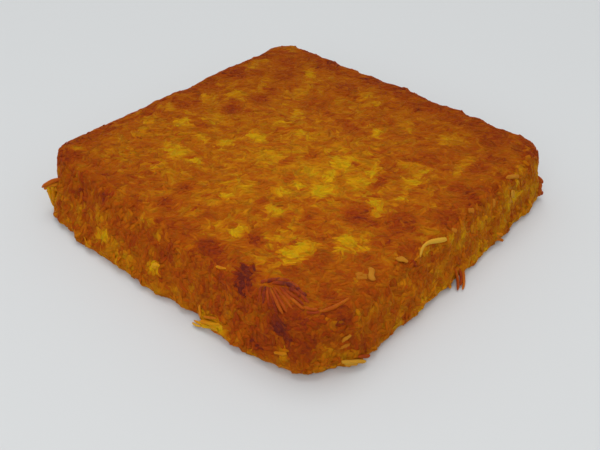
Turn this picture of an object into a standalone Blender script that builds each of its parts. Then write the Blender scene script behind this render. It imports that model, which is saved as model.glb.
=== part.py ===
"""Tahdig: a square slab of saffron rice, turned out of its pan with the crisp crust upwards.

The slab stands on its flat underside at the origin, with X and Y along its sides and +Z up.
The pan tapers towards its floor, so the crust, now on top, is smaller than the foot.
"""

import math

import bmesh
import bpy
from mathutils import Vector, noise

# Driving dimensions, in metres
FOOT_SIZE = (0.1985, 0.1925)   # the slab where it meets what it stands on, along X and Y
CRUST_SIZE = (0.1855, 0.1770)  # the outline just under the crust's rounded edge
THICKNESS = 0.0292
EDGE_RADIUS = 0.0050           # rounding between the sides and the crust
FOOT_TUCK = 0.0022             # how far the lowest rice is drawn in under the slab
FOOT_TUCK_HEIGHT = 0.0030
CRUST_LEAN = (0.0018, 0.0016)  # the crust sits a little off the middle of the foot

# Corner radii at the crust and at the foot, by (towards +X, towards +Y)
CORNER_RADII = {
    (True, False): (0.021, 0.038),
    (True, True): (0.012, 0.021),
    (False, True): (0.012, 0.024),
    (False, False): (0.014, 0.038),
}

# Unevenness of the packed rice
CRUST_BOW = 0.0006             # how far the middle of each side swells past a straight line
FOOT_BOW = 0.0024
FOOT_SKEW = 0.0032             # the foot of the -Y side swells towards -X and draws in towards +X
SIDE_WAVE = 0.0019             # slow in-and-out of the sides
SIDE_WAVELENGTH = 0.021
CLUMP = 0.0011                 # clumps of a few grains on the sides
CLUMP_SIZE = 0.0075
FOOT_RAG = 0.0021              # extra raggedness that grows towards the foot
FOOT_RAG_SIZE = 0.012
TOP_WAVE = 0.0009              # shallow hollows and rises of the crust
TOP_WAVELENGTH = 0.034
TOP_CLUMP = 0.00042            # knobbly surface of the crust
TOP_CLUMP_SIZE = 0.0085

# Where each unevenness is read in the noise field, so that no two are alike
SIDE_WAVE_AT = Vector((3.1, 7.7, 1.9))
CLUMP_AT = Vector((11.3, 2.2, 5.4))
FOOT_RAG_AT = Vector((0.7, 9.1, 4.8))
TOP_WAVE_AT = Vector((5.2, 1.3, 8.8))
TOP_CLUMP_AT = Vector((2.9, 6.1, 0.3))

# Mesh fineness
CRUST_CELLS = 32               # cells along each side of the crust
EDGE_STEPS = 3                 # steps round the crust's edge
SIDE_STEPS = 5                 # steps down the straight part of the sides
CELL_CROWDING = 0.84           # below 1; the rows of cells crowd towards the sides as it grows

RICE_COLOUR = (0.309, 0.080, 0.006, 1.0)
RICE_ROUGHNESS = 0.42


def crowd(value):
    """Move a grid line at -1..1 so that rows are closer together near the slab's sides."""
    turn = CELL_CROWDING * math.pi / 2.0
    return math.sin(value * turn) / math.sin(turn)


def between(start, end, share):
    """The value that lies a share of the way from start to end."""
    return start + (end - start) * share


def rounded_outline(edge_u, edge_v, half_size, depth):
    """Point on the rounded rectangle that a point on the edge of the unit square stands for."""
    half_x, half_y = half_size
    x, y = edge_u * half_x, edge_v * half_y
    radius = between(*CORNER_RADII[(edge_u > 0.0, edge_v > 0.0)], depth)
    past_x = abs(x) - (half_x - radius)
    past_y = abs(y) - (half_y - radius)
    if past_x <= 0.0 or past_y <= 0.0:
        return x, y
    quarter = math.pi / 4.0
    if past_x >= past_y:
        angle = quarter * past_y / past_x
    else:
        angle = 2.0 * quarter - quarter * past_x / past_y
    corner_x = half_x - radius + radius * math.cos(angle)
    corner_y = half_y - radius + radius * math.sin(angle)
    return math.copysign(corner_x, x), math.copysign(corner_y, y)


def side_roughness(x, y, z, depth):
    """Outward shift of the sides at a place; depth is 0 at the crust and 1 at the foot."""
    place = Vector((x, y, z))
    wave = noise.noise(place / SIDE_WAVELENGTH + SIDE_WAVE_AT)
    clump = noise.noise(place / CLUMP_SIZE + CLUMP_AT)
    rag = noise.noise(Vector((x, y, 0.0)) / FOOT_RAG_SIZE + FOOT_RAG_AT)
    return SIDE_WAVE * wave + CLUMP * clump + FOOT_RAG * rag * depth * depth


def crust_height(x, y):
    """Height of the crust at a place, with its hollows and knobbly clumps."""
    place = Vector((x, y, 0.0))
    wave = noise.noise(place / TOP_WAVELENGTH + TOP_WAVE_AT)
    clump = noise.noise(place / TOP_CLUMP_SIZE + TOP_CLUMP_AT)
    return THICKNESS + TOP_WAVE * wave + TOP_CLUMP * clump


def ring_point(edge_u, edge_v, depth, inset):
    """Plan position of a ring round the slab; depth runs 0 (crust) to 1 (foot)."""
    half_size = [
        between(crust, foot, depth) / 2.0 - inset
        for crust, foot in zip(CRUST_SIZE, FOOT_SIZE)
    ]
    x, y = rounded_outline(edge_u, edge_v, half_size, depth)
    bow = between(CRUST_BOW, FOOT_BOW, depth)
    if abs(edge_u) >= abs(edge_v):
        x += math.copysign(bow * (1.0 - edge_v * edge_v), edge_u)
    else:
        y += math.copysign(bow * (1.0 - edge_u * edge_u), edge_v)
        if edge_v < 0.0:
            y += FOOT_SKEW * depth * math.sin(math.pi * edge_u)
    lean = 1.0 - depth
    return x + CRUST_LEAN[0] * lean, y + CRUST_LEAN[1] * lean


def side_levels():
    """Depth, height and inset of each ring from the crust's rim down to the underside."""
    shoulder = THICKNESS - EDGE_RADIUS
    levels = []
    for step in range(1, EDGE_STEPS + 1):
        angle = math.pi / 2.0 * step / EDGE_STEPS
        height = shoulder + EDGE_RADIUS * math.cos(angle)
        levels.append((0.0, height, EDGE_RADIUS * (1.0 - math.sin(angle))))
    for step in range(1, SIDE_STEPS + 1):
        share = step / SIDE_STEPS
        height = between(shoulder, FOOT_TUCK_HEIGHT, share)
        levels.append((share, height, 0.0))
    levels.append((1.0, 0.0, FOOT_TUCK))
    return levels


def move_ring(ring, places, depth, height, inset):
    """Put the corners of a ring at their place on the slab's side."""
    for corner in ring:
        edge_u, edge_v = places[corner.index]
        x, y = ring_point(edge_u, edge_v, depth, inset)
        outward = Vector((x, y, 0.0)).normalized()
        shift = side_roughness(x, y, height, depth)
        crust_share = max(0.0, (height - (THICKNESS - EDGE_RADIUS)) / EDGE_RADIUS)
        lift = (crust_height(x, y) - THICKNESS) * crust_share
        corner.co = (x + outward.x * shift, y + outward.y * shift, height + lift)


def slab_mesh():
    """One closed shell: a grid for the crust, its edge drawn down ring by ring, and a flat foot."""
    shell = bmesh.new()
    bmesh.ops.create_grid(shell, x_segments=CRUST_CELLS, y_segments=CRUST_CELLS, size=1.0)
    shell.verts.index_update()
    places = {}
    for corner in shell.verts:
        u, v = crowd(corner.co.x), crowd(corner.co.y)
        reach = max(abs(u), abs(v))
        if reach > 0.0:
            x, y = ring_point(u / reach, v / reach, 0.0, EDGE_RADIUS)
        else:
            x, y = CRUST_LEAN
        shift = side_roughness(x, y, THICKNESS, 0.0)
        outward = Vector((x, y, 0.0)).normalized()
        x, y = (x + outward.x * shift) * reach, (y + outward.y * shift) * reach
        if corner.is_boundary:
            places[corner.index] = (u / reach, v / reach)
        corner.co = (x, y, crust_height(x, y))

    rim = [edge for edge in shell.edges if edge.is_boundary]
    for depth, height, inset in side_levels():
        drawn = bmesh.ops.extrude_edge_only(shell, edges=rim)["geom"]
        ring = {item for item in drawn if isinstance(item, bmesh.types.BMVert)}
        above = {}
        for corner in ring:
            for edge in corner.link_edges:
                other = edge.other_vert(corner)
                if other not in ring:
                    above[corner] = places[other.index]
        shell.verts.index_update()
        places = {corner.index: above[corner] for corner in ring}
        move_ring(ring, places, depth, height, inset)
        edges = [item for item in drawn if isinstance(item, bmesh.types.BMEdge)]
        rim = [edge for edge in edges if edge.is_boundary]

    bmesh.ops.holes_fill(shell, edges=rim, sides=0)
    bmesh.ops.triangulate(shell, faces=shell.faces[:])
    bmesh.ops.recalc_face_normals(shell, faces=shell.faces[:])
    centre_on_foot(shell)

    mesh = bpy.data.meshes.new("rice_slab")
    shell.to_mesh(mesh)
    shell.free()
    return mesh


def centre_on_foot(shell):
    """Slide the slab so that the middle of its box stands over the origin."""
    for axis in (0, 1):
        low = min(corner.co[axis] for corner in shell.verts)
        high = max(corner.co[axis] for corner in shell.verts)
        middle = (low + high) / 2.0
        for corner in shell.verts:
            corner.co[axis] -= middle


def rice_material():
    """Toasted saffron rice, slightly glossy with oil."""
    material = bpy.data.materials.new("toasted_rice")
    material.use_nodes = True
    shader = material.node_tree.nodes["Principled BSDF"]
    shader.inputs["Base Color"].default_value = RICE_COLOUR
    shader.inputs["Roughness"].default_value = RICE_ROUGHNESS
    shader.inputs["Metallic"].default_value = 0.0
    return material


def main():
    """Clear the file's objects and build the slab."""
    for item in list(bpy.data.objects):
        bpy.data.objects.remove(item, do_unlink=True)
    slab = bpy.data.objects.new("rice_slab", slab_mesh())
    bpy.context.scene.collection.objects.link(slab)
    slab.data.materials.append(rice_material())
    slab.data.shade_smooth()


main()
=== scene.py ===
"""Tahdig: a square slab of saffron rice with a toasted crust, grain by grain over a smaller core."""

import math

import bmesh
import bpy
import numpy as np
from bpy.props import FloatProperty, FloatVectorProperty, IntProperty, PointerProperty
from bpy.types import Operator, Panel, PropertyGroup
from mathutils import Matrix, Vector, noise
from mathutils.bvhtree import BVHTree


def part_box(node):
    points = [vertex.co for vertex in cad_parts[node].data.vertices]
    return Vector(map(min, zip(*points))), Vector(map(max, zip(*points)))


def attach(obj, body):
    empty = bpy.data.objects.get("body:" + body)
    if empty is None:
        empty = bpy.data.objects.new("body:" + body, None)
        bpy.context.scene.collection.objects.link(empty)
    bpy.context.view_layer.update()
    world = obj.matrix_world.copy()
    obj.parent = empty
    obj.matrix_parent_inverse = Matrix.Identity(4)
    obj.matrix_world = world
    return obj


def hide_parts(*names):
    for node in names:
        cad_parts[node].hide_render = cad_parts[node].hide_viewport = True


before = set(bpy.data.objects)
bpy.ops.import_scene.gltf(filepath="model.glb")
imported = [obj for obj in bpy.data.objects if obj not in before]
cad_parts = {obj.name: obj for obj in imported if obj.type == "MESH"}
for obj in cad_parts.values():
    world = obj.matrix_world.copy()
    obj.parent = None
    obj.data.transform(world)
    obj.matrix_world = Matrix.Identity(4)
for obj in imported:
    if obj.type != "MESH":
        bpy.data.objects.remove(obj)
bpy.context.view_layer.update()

bl_info = {
    "name": "Tahdig",
    "version": (1, 0, 0),
    "blender": (4, 5, 0),
    "location": "3D View > Sidebar > Tahdig",
    "description": "A square slab of saffron rice with a toasted crust, turned out of its pan",
    "category": "Object",
}

SLAB_NODE = "rice_slab"
BODY = "root"
SLAB_LOW, SLAB_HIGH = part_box(SLAB_NODE)
HALF_X = (SLAB_HIGH.x - SLAB_LOW.x) / 2.0
HALF_Y = (SLAB_HIGH.y - SLAB_LOW.y) / 2.0
TOP_Z = SLAB_HIGH.z
MM = 0.001


# ---------------- settings


class TAHDIG_PG_grains(PropertyGroup):
    """Sizes and numbers of the rice grains."""

    length: FloatProperty(
        name="Grain Length", description="Length of a usual cooked grain",
        default=0.0072, min=0.003, max=0.015, unit="LENGTH", subtype="DISTANCE",
    )
    width: FloatProperty(
        name="Grain Width", description="Width of a usual grain, seen from above",
        default=0.0018, min=0.0008, max=0.004, unit="LENGTH", subtype="DISTANCE",
    )
    thickness: FloatProperty(
        name="Grain Thickness", description="Thickness of a grain pressed against the pan",
        default=0.0007, min=0.0004, max=0.003, unit="LENGTH", subtype="DISTANCE",
    )
    toasted: IntProperty(
        name="Toasted Grains", description="Grains in the browned part of the crust",
        default=3300, min=100, max=5500,
    )
    golden: IntProperty(
        name="Golden Grains", description="Grains in the yellow part of the crust",
        default=3300, min=100, max=5500,
    )
    sides: IntProperty(
        name="Side Grains", description="Grains round the four sides",
        default=5400, min=100, max=5500,
    )
    underside: IntProperty(
        name="Underside Grains", description="Soft grains of the underside",
        default=3600, min=100, max=5500,
    )
    seed: IntProperty(name="Seed", description="Seed of every random draw", default=11)


class TAHDIG_PG_core(PropertyGroup):
    """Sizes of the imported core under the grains."""

    inset: FloatProperty(
        name="Core Inset", description="How far the core lies under the grains' outer surface",
        default=0.00012, min=0.0, max=0.003, unit="LENGTH", subtype="DISTANCE",
    )
    cell: FloatProperty(
        name="Core Cell", description="Size of the core's mesh cells",
        default=0.0012, min=0.0008, max=0.004, unit="LENGTH", subtype="DISTANCE",
    )
    lumps: FloatProperty(
        name="Side Lumps", description="Depth of the lumps on the sides",
        default=0.0022, min=0.0, max=0.006, unit="LENGTH", subtype="DISTANCE",
    )
    crust_lumps: FloatProperty(
        name="Crust Share", description="Share of the lumps left on the crust that the pan pressed",
        default=0.35, min=0.0, max=1.0, subtype="FACTOR",
    )
    nibbles: FloatProperty(
        name="Nibbles", description="How unevenly the top rim is broken",
        default=0.0030, min=0.0, max=0.008, unit="LENGTH", subtype="DISTANCE",
    )
    foot: FloatProperty(
        name="Ragged Foot", description="How unevenly the lower edge is broken",
        default=0.0032, min=0.0, max=0.008, unit="LENGTH", subtype="DISTANCE",
    )


class TAHDIG_PG_browning(PropertyGroup):
    """Colours from untoasted to burnt rice."""

    pale: FloatVectorProperty(
        name="Pale", description="Dry grains that took no saffron",
        default=(0.54, 0.285, 0.028), min=0.0, max=1.0, subtype="COLOR",
    )
    tan: FloatVectorProperty(
        name="Tan", description="Pale grains that began to toast",
        default=(0.39, 0.125, 0.009), min=0.0, max=1.0, subtype="COLOR",
    )
    golden: FloatVectorProperty(
        name="Golden", description="Saffron rice, hardly toasted",
        default=(0.57, 0.270, 0.0034), min=0.0, max=1.0, subtype="COLOR",
    )
    amber: FloatVectorProperty(
        name="Amber", description="Lightly toasted rice",
        default=(0.485, 0.157, 0.0034), min=0.0, max=1.0, subtype="COLOR",
    )
    toasted: FloatVectorProperty(
        name="Toasted", description="The usual colour of the crust",
        default=(0.380, 0.088, 0.0034), min=0.0, max=1.0, subtype="COLOR",
    )
    brown: FloatVectorProperty(
        name="Brown", description="Well browned rice",
        default=(0.326, 0.056, 0.0034), min=0.0, max=1.0, subtype="COLOR",
    )
    dark: FloatVectorProperty(
        name="Dark", description="Rice close to burning",
        default=(0.248, 0.031, 0.0046), min=0.0, max=1.0, subtype="COLOR",
    )
    burnt: FloatVectorProperty(
        name="Burnt", description="Burnt rice",
        default=(0.120, 0.0165, 0.010), min=0.0, max=1.0, subtype="COLOR",
    )


class TAHDIG_PG_stage(PropertyGroup):
    """Camera, lights and floor."""

    azimuth: FloatProperty(
        name="Camera Azimuth", description="Turn of the camera round the slab, 0 looks along +Y",
        default=math.radians(42.72), unit="ROTATION", subtype="ANGLE",
    )
    elevation: FloatProperty(
        name="Camera Elevation", description="Angle of the camera above the horizon",
        default=math.radians(39.0), unit="ROTATION", subtype="ANGLE",
    )
    distance: FloatProperty(
        name="Camera Distance", description="Distance from the camera to the point it looks at",
        default=0.3297, unit="LENGTH", subtype="DISTANCE",
    )
    aim: FloatVectorProperty(
        name="Camera Aim", description="The point that the camera looks at",
        default=(0.0312, -0.0276, 0.012), unit="LENGTH", subtype="XYZ",
    )
    lens: FloatProperty(
        name="Lens", description="Focal length on a sensor 36 mm wide, in millimetres",
        default=41.8, subtype="DISTANCE_CAMERA",
    )
    floor: FloatVectorProperty(
        name="Floor", description="Colour of the pale floor",
        default=(0.62, 0.63, 0.63), min=0.0, max=1.0, subtype="COLOR",
    )
    key_power: FloatProperty(
        name="Key Light", description="Strength of the broad soft light over the slab",
        default=1.0, min=0.0,
    )
    fill_power: FloatProperty(
        name="Fill Light", description="Power of the soft light behind the camera, in watts",
        default=5.45, min=0.0,
    )
    sky: FloatProperty(
        name="Sky", description="Brightness of the light from all round",
        default=0.66, min=0.0,
    )


# ---------------- browning of the rice


# The height of the crust, in millimetres
CRUST = 29.5
# A patch fades between these shares of its half sizes, and is not looked for past its reach
PATCH_HEART, PATCH_EDGE, PATCH_REACH = 0.52, 1.42, 1.9


class Patch:
    """A patch of the slab that is more or less toasted than what surrounds it."""

    def __init__(self, x, y, along, across, toast, turn=0.0, z=CRUST):
        self.at = Vector((x, y, z)) * MM
        self.size = (along * MM, across * MM)
        self.reach = PATCH_REACH * max(self.size)
        self.turn = math.radians(turn)
        self.toast = toast

    def share(self, place, ragged):
        """How much the patch holds at a place: 1 at its middle, 0 outside its ragged edge."""
        off = place - self.at
        if max(abs(off.x), abs(off.y), abs(off.z)) > self.reach:
            return 0.0
        along = off.x * math.cos(self.turn) + off.y * math.sin(self.turn)
        across = off.y * math.cos(self.turn) - off.x * math.sin(self.turn)
        distance = math.hypot(along / self.size[0], across / self.size[1], off.z / self.size[1])
        return smooth_step(PATCH_EDGE, PATCH_HEART, distance + ragged)


# Each row is a patch's middle x and y, its half sizes along and across, and its toast from 0 golden
# to 1 burnt or more, then its turn in degrees and its height where it isn't flat on the crust.
# Places and sizes are in millimetres, and a later patch lies over an earlier one.
PATCHES = tuple(Patch(*row) for row in (
    # A large lighter area in the middle of the crust, lightest towards the right
    (-5, -19, 70, 50, 0.5, 10), (25, -6, 30, 23, 0.38, 30), (10, -44, 12, 8, 0.44),
    # The middle and the near part of the crust, where most patches are golden
    (30, -1, 3.4, 8, 0.14), (22, -9, 4, 5, 0.24), (35, -17, 4, 5.4, 0.06, -10), (44, 1, 4.5, 6, 0.18),
    (60, -10, 10, 2.6, 0.16, -38), (25, -21, 5, 3, 0.26), (21, -31, 4.4, 3.2, 0.16, 10),
    (30, -44, 4.5, 3.4, 0.18, -10), (68, -39, 3.4, 6, 0.08, 10), (75, -38, 2.6, 4.4, 0.2, 20),
    (56, -57, 5.5, 7, 0.03, -10), (60, -52, 2.4, 4, 0.1, 10), (44, -61, 3, 3.4, 0.28),
    (71, -30, 3.4, 3, 0.32), (87, -37, 3, 4, 0.38, 0, 29), (87, -5, 3, 4, 0.46), (45, -53, 6, 6, 0.34),
    (36, -53, 3.4, 4, 0.56), (28, -64, 4.5, 4.5, 0.14), (20, -67, 3, 2.4, 0.3), (6, -41, 7, 6, 0.32),
    (6, -57, 3.6, 3.6, 0.34), (5, -70, 2.6, 4, 0.34), (51, -70, 3, 4, 0.44, -30), (89, -10, 3, 6, 0.4),
    (2, -13, 4, 7, 0.26), (90, -66, 3.4, 5, 0.76),
    # The same part again, where most patches are brown
    (60, -20, 8, 7.5, 0.84, -10), (77, -12, 6.5, 9, 0.84, 10), (91, -25, 4, 6, 0.76),
    (38.5, -62.5, 5.4, 4.6, 0.86, 10), (67, -56, 4, 6, 0.8, 10), (65, -68, 5, 3, 0.76),
    (78, -27, 4, 4, 0.78), (81, 26, 4, 5, 0.76), (83, -67, 5, 3.4, 0.8), (34, -26, 3.4, 2.6, 0.52),
    (0, -27, 3.4, 3, 0.64), (80, 11, 4, 4, 0.76), (1, -48, 3, 3.4, 0.58), (87, -34, 3, 3, 0.4, 0, 29),
    (65, -14, 2.6, 4.6, 0.26, 35), (67, -7, 2.6, 3.4, 0.32), (41.5, -57, 3, 2.4, 0.32),
    (56, -71, 2.6, 3.4, 0.34), (7, -52, 4, 4, 0.22), (45, -37, 3, 5, 0.72), (51, 7, 3, 8, 0.82, 5),
    (89, 5, 5, 7, 0.82), (82, -41, 6, 3.6, 0.76, 10), (13, 1, 3.4, 5, 0.72), (7, -10, 2.4, 5, 0.74),
    (12, -57, 4, 5, 0.64), (22, -44, 2.4, 5, 0.7, 10), (10, -66, 4, 4, 0.68), (9, -80, 8, 7, 0.76),
    (41, -78, 4, 4, 0.72), (70, -75, 8, 3.6, 0.84, 10), (80, -53, 5, 5, 0.7), (93, -52, 3, 8, 0.74),
    (75, -64, 5, 5, 0.7), (38, -47, 4, 4, 0.66), (17, -21, 4, 4, 0.6), (14, -32, 4, 4, 0.62),
    (52, -42, 5, 6, 0.62), (28, -79.5, 7, 5, 1, -10, 29), (62, -87, 6, 6, 0.84, 0, 27),
    (66, -85, 9, 7, 0.8, 0, 26), (52, -83, 7.8, 4.2, 1.5, -53, 29),
    # The left of the crust
    (-21, -5, 5, 4.5, 0.1), (-4, -15, 5, 6, 0.24), (-48, -8, 6, 4.5, 0.32),
    (-58, -23, 6.5, 4, 0.22, -10), (-28, -20, 4.5, 4.5, 0.22), (-40, -24, 5.5, 3, 0.28),
    (-38, -42, 7, 5, 0.22), (-25, -41.5, 3.4, 3.4, 0.12), (-67, -43, 3.6, 5.4, 0.3, 20),
    (-75, -33, 4.5, 3.4, 0.3), (-76, -15, 3.4, 4, 0.24), (-34, -56, 3.4, 5.4, 0.3, 20),
    (-25, -56, 3, 4, 0.3), (-58, -61, 6, 3, 0.38, -30), (-78, -75, 6, 2.2, 0.28),
    (-8, -84, 5, 3.4, 0.5), (-67, -86, 4, 3, 0.42), (-68, 5, 6, 3.4, 0.36), (-50, 6, 6, 5.4, 0.84),
    (-50, -17, 5, 3, 0.72), (-74, -8, 4.5, 6.4, 0.82), (-70, -23, 4, 4.4, 0.7),
    (-12.5, -59.5, 4.4, 4, 0.84), (-9, -73, 5.4, 4.4, 0.84), (-30, -64, 6, 2.6, 0.68, -15),
    (-36, -73, 6, 3, 0.72, -15), (-21, -82, 6, 4, 0.76), (-46, -79, 8, 4, 0.74, -10),
    (-56, -85, 6, 4, 0.8), (-77, -82, 10, 5, 0.88, 40), (0, -83, 4, 3, 0.82), (-41, -51, 4, 3, 0.4),
    (-61, -76, 5, 4, 0.76), (-15, -48, 5, 3, 0.65),
    # The far side of the crust
    (-21, 27, 5.4, 2.4, 0.2, -30), (-45, 64, 9, 3, 0.28, -50), (-38, 46, 5, 12, 0.4, 10),
    (-60, 18, 6.5, 4, 0.26, -20), (-56, 34, 5, 7, 0.42, 20), (-5.5, 13, 6, 2.4, 0.14, -55),
    (-4, 64, 4, 4.4, 0.36), (-81, 53, 4, 7, 0.38, 20), (-79, 59, 3, 5, 0.42), (-79, 84, 5, 5, 0.45),
    (-19, 12, 3, 3, 0.34), (-28, 76, 3, 3, 0.42), (-47, 24, 6.5, 5.4, 0.76, -30), (-49, 36, 5, 5, 0.72),
    (-78, 35.5, 7.5, 5, 0.84), (-57, 54, 7, 7, 0.76), (-66, 68, 7, 5, 0.8), (-70, 45, 4, 5, 0.76),
    (-20, 66, 7.5, 8, 0.74), (-21, 41, 7, 9, 0.7), (-84, 8, 3, 8, 0.76),
    # The right of the crust
    (29, 9, 3.6, 9, 0.14), (44, 11, 8, 2.4, 0.18, -58), (63, 18, 2.6, 10, 0.18, 5),
    (56, 28, 4.5, 3, 0.32, 10), (53, 57, 2.6, 4.6, 0.28, 10), (54, 64, 6, 3, 0.38),
    (72, 47, 2, 8.4, 0.3, 5), (24, 38, 4.4, 3.4, 0.16, -10), (30, 56, 3.6, 4.4, 0.38),
    (3, 15, 4, 4, 0.36), (29, 19, 7, 3, 0.44), (4, 64, 4, 4, 0.36), (79, 6, 2, 4.4, 0.36),
    (65, 5, 3, 3.4, 0.34), (49, 25, 2.4, 3, 0.36), (94, 65, 3, 8, 0.4), (79, 48, 4.4, 6.4, 0.84),
    (90, 26, 5.4, 11, 0.78), (57, 39, 7, 5, 0.72), (11, 34, 7, 4, 0.76, -10), (43, 23, 3, 6, 0.68),
    (25, 79, 6, 7, 0.8), (46, 80, 12, 6, 0.76), (71, 76, 7, 9, 0.78), (80, 61, 6, 6, 0.72),
    (18, 53, 6, 5, 0.68), (86, 78, 5, 6, 0.74),
    # The near corner's sides
    (84, -85, 14, 12, 0.78, 45, 18), (86, -79, 8, 4, 0.66, 45, 26), (75, -87, 4.4, 7, 1.1, 30, 20),
    (77, -88, 4, 3, 1.15, 30, 15), (89.5, -81.5, 3, 3, 0.5, 45, 14), (96.5, -67, 7, 5, 0.8, 90, 14),
    (89, -75, 4, 3, 0.92, 45, 27.5), (78, -83, 7, 4, 0.9, 20, 27.5), (66, -91.5, 5, 3.4, 0.96, 0, 8),
    (85.5, -85, 4, 4.4, 0.9, 45, 12.5), (84, -84, 2.4, 3.4, 0.9, 45, 23.5),
    (65, -88, 5, 3.4, 0.8, 0, 25), (93.5, -70.5, 4.6, 4, 0.9, 90, 25),
    (90.5, -75.2, 2.6, 2.6, 0.5, 45, 26.4), (92, -78.6, 4, 4, 0.58, 45, 11.8),
    (71, -90, 5.4, 5, 0.88, 20, 14), (78, -89.3, 4, 2.6, 0.36, 30, 9.6),
    # The left side
    (4.5, -93, 4.6, 2.5, 0.05, 20, 13.4), (-33, -94, 5, 4.4, 0.16, 0, 11),
    (-24, -95, 4.4, 2.8, 0.42, 0, 9.5), (-19, -95, 3, 2.6, 0.24, 0, 6.5),
    (-41, -92, 4, 3.4, 0.42, 30, 17.5), (-88, -87, 9, 7, 0.18, -45, 8), (-72, -92, 7, 5, 0.26, 0, 5),
    (43, -95, 9, 3, 0.18, 15, 6), (61, -89.5, 4, 2.8, 0.64, 0, 20), (15, -95, 6, 3, 0.44, 0, 7),
    (40, -92, 1.3, 4.4, 0.46, 0, 16), (-55, -89, 6.4, 4, 0.86, 0, 25), (-66, -87, 6, 3, 0.8, 0, 27),
    (-55, -89, 5, 3.4, 0.9, 0, 19), (-46, -92, 4, 3.4, 0.42, 0, 15), (-11, -91, 4, 3, 0.88, 0, 18.5),
    (-1, -87, 3.4, 3, 0.48, 0, 23.5), (23, -87, 4, 3, 0.46, 0, 25.5), (19, -92, 4, 3.4, 0.78, 0, 13),
    (41.5, -90, 3, 3, 0.82, 0, 20), (55, -88.5, 4, 3, 0.92, 0, 20.5), (36, -83, 4, 3, 0.88, 0, 29),
    (6.5, -90, 4, 2.4, 0.94, 0, 18.5), (44, -92, 4, 2.6, 0.84, 0, 12), (-37, -88, 4, 3, 0.84, 0, 23.5),
    (-63, -91, 6, 3, 0.76, 0, 18), (-25, -93, 6, 3.6, 0.78, 0, 18), (-9, -90, 5, 3.6, 0.8, 0, 23),
    (-5, -92, 4, 3, 0.72, 0, 17), (11, -91, 3.4, 4, 0.94, 0, 21.5), (43, -89, 5, 4.4, 0.9, 0, 26),
    (35, -92, 4, 5.4, 0.82, 0, 17), (44, -92, 2, 4.4, 0.82, 0, 16), (53, -91, 5, 4, 0.74, 0, 23),
    (57, -92, 5, 3.4, 0.82, 0, 11), (24, -93, 6, 4, 0.74, 0, 19), (-8, -94, 9, 3, 0.6, 0, 5),
    # The right side
    (97, 55, 6.5, 3.4, 0.08, 90, 17.5), (97, 68, 9, 4.4, 0.32, 90, 15), (96, 49, 5, 3, 0.38, 90, 24),
    (98.5, 42, 5, 3.4, 0.26, 90, 8), (97, 25, 5, 4, 0.32, 90, 18), (99, -25, 4, 4, 0.3, 90, 7),
    (97, -38, 4, 4, 0.72, 90, 16), (94.5, -20, 2.4, 2.6, 0.3, 90, 26.5), (95, -11, 8, 3, 0.4, 90, 24),
    (95, -24, 2.6, 2.4, 0.44, 90, 27), (96, 58, 4.4, 3.4, 0.14, 90, 21.5),
    (96, 35, 4, 3.4, 0.4, 90, 21), (94, 30, 4, 2.6, 0.48, 90, 27), (95, -43, 4, 3, 0.76, 90, 22),
    (98, -21, 5, 4, 0.74, 90, 15), (99.5, -33, 4, 3, 0.8, 90, 10.5), (96, -26, 5, 3.4, 0.76, 90, 21),
    (98, 5, 12, 4, 0.68, 90, 11), (96, 35, 4, 3, 0.66, 90, 25), (98, -50, 10, 8, 0.62, 90, 12),
))


def smooth_step(start, end, value):
    """0 at start, 1 at end, with soft ends."""
    share = min(max((value - start) / (end - start), 0.0), 1.0)
    return share * share * (3.0 - 2.0 * share)


def octave(place, size, shift):
    """Noise from about -1 to 1 whose lumps are of a given size; another shift gives other noise."""
    return noise.noise(place / size + Vector((shift, shift * 1.7, -shift)))


USUAL_TOAST = 0.56
# How far the browning strays in broad drifts, in middling blotches and from grain to grain
BROAD, MIDDLE, FINE = 0.07, 0.18, 0.28
NEARLY_BURNT = 0.8


def toasting(place):
    """How toasted the rice is at a place: 0 golden, 0.3 amber, 0.55 toasted, 0.75 brown, 1 burnt."""
    # Blotches are longer along the combed grains, and longer still upright
    combed = Vector((0.56 * (place.x + place.y), 0.71 * (place.y - place.x), 0.55 * place.z))
    broad = octave(combed, 20 * MM, 4.3)
    middle = octave(combed, 8 * MM, 17.9)
    fine = octave(combed, 3.2 * MM, 31.1)
    # The sides are more uneven than the crust, the right one is lighter and the left one browner
    uneven = 1.0 + 0.35 * smooth_step(0.027, 0.022, place.z)
    toast = USUAL_TOAST + BROAD * broad + (MIDDLE * middle + FINE * fine) * uneven
    toast -= 0.08 * smooth_step(0.086, 0.094, place.x)
    toast += 0.05 * smooth_step(-0.080, -0.088, place.y)
    # The rim of the crust is browner, most of all along the two far sides
    rim = max(abs(place.x) / HALF_X, abs(place.y) / HALF_Y)
    far_rim = max(-place.x / HALF_X, place.y / HALF_Y)
    browner = 0.14 * smooth_step(0.80, 0.90, rim) + 0.14 * smooth_step(0.68, 0.80, far_rim)
    toast += browner * smooth_step(0.020, 0.027, place.z)
    ragged = 0.62 * fine + 0.42 * middle
    for patch in PATCHES:
        share = patch.share(place, ragged)
        if share > 0.0:
            toast += (patch.toast + FINE * fine - toast) * share
    # The foot kept away from the heat
    toast -= 0.16 * smooth_step(0.009, 0.0, place.z)
    # Rice browns slowly towards burning: the darkest tones are rare
    if toast > NEARLY_BURNT:
        toast = NEARLY_BURNT + 0.5 * (toast - NEARLY_BURNT)
    return min(max(toast, 0.0), 1.0)


# Painted shade: the rice is painted lightest at this x and y and darkest from this far away, standing
# in for light that falls off towards the far corner
UNSHADED_AT = (0.035, -0.045)
FULL_SHADE_AT = 0.175


def painted_shade(place):
    """How much painted shade the rice takes, for the light falling off towards the far corner: 0
    between the middle and the near corner, 1 at the far corner.
    """
    return smooth_step(0.010, FULL_SHADE_AT, math.hypot(place[0] - UNSHADED_AT[0], place[1] - UNSHADED_AT[1]))


# ---------------- helpers


def deselect_all():
    """Leave nothing selected, so that an operator acts only on what it is given."""
    for item in bpy.context.selected_objects:
        item.select_set(False)


def pick(item):
    """Make one object the only selected and the active one."""
    deselect_all()
    item.select_set(True)
    bpy.context.view_layer.objects.active = item


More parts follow.
